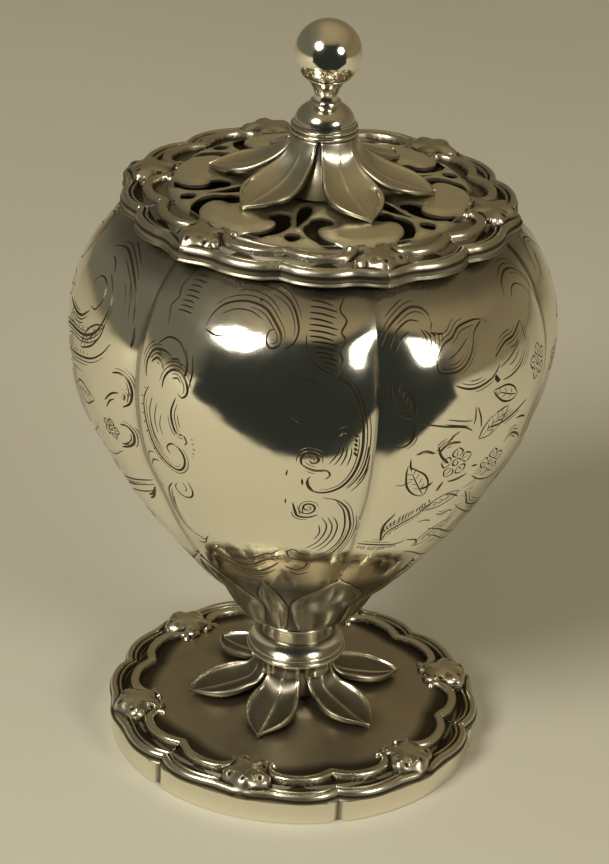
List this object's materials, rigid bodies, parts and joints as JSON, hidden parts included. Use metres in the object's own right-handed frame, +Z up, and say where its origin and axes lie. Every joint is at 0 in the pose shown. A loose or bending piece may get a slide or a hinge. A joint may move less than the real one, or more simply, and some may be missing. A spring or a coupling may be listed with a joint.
{
  "type": "sugar bowl",
  "caption": "Lobed, chased silver sugar vase on a knopped stem and scalloped foot, with a pierced pull-off cover and ball finial; holds and serves sugar.",
  "frame": {"origin": "centre of the foot's base", "axes": "+Z up along the vase's axis, -Y towards the lobe with the vacant cartouche, so that +X lies along a crease between two lobes"},
  "size_m": [0.1042, 0.1058, 0.1705],
  "materials": {
    "polished_silver": "polished silver with fine wear scratches and light tarnish in the hollows",
    "cast_silver": "cast silver, bright on the ridges and dark with old patina in the recesses",
    "patinated_silver": "satin silver under a brown-grey patina"
  },
  "bodies": {
    "vase": {"foot_wall": "polished_silver", "foot_plate": "patinated_silver", "foot_border_1": "cast_silver", "foot_border_2": "cast_silver", "foot_border_3": "cast_silver", "foot_border_4": "cast_silver", "foot_border_5": "cast_silver", "foot_border_6": "cast_silver", "foot_leaf_1": "cast_silver", "foot_leaf_2": "cast_silver", "foot_leaf_3": "cast_silver", "foot_leaf_4": "cast_silver", "foot_leaf_5": "cast_silver", "foot_leaf_6": "cast_silver", "stem_knop": "polished_silver", "stem_neck": "polished_silver", "body_shell": "polished_silver", "mouth_ring": "polished_silver"},
    "cover": {"lid_plate": "cast_silver", "lid_border_1": "cast_silver", "lid_border_2": "cast_silver", "lid_border_3": "cast_silver", "lid_border_4": "cast_silver", "lid_border_5": "cast_silver", "lid_border_6": "cast_silver", "lid_bezel": "polished_silver", "calyx_cone": "cast_silver", "lid_leaf_1": "polished_silver", "lid_leaf_2": "polished_silver", "lid_leaf_3": "polished_silver", "lid_leaf_4": "polished_silver", "lid_leaf_5": "polished_silver", "lid_leaf_6": "polished_silver", "finial_collar": "polished_silver", "finial_stem": "polished_silver", "finial_ball": "polished_silver", "finial_stud": "polished_silver", "finial_washer": "cast_silver", "finial_nut": "cast_silver"}
  },
  "joints": [
    {"name": "cover_lift", "type": "slide", "parent": "vase", "child": "cover", "axis": [0, 0, 1], "range_m": [0, 0.07]}
  ]
}
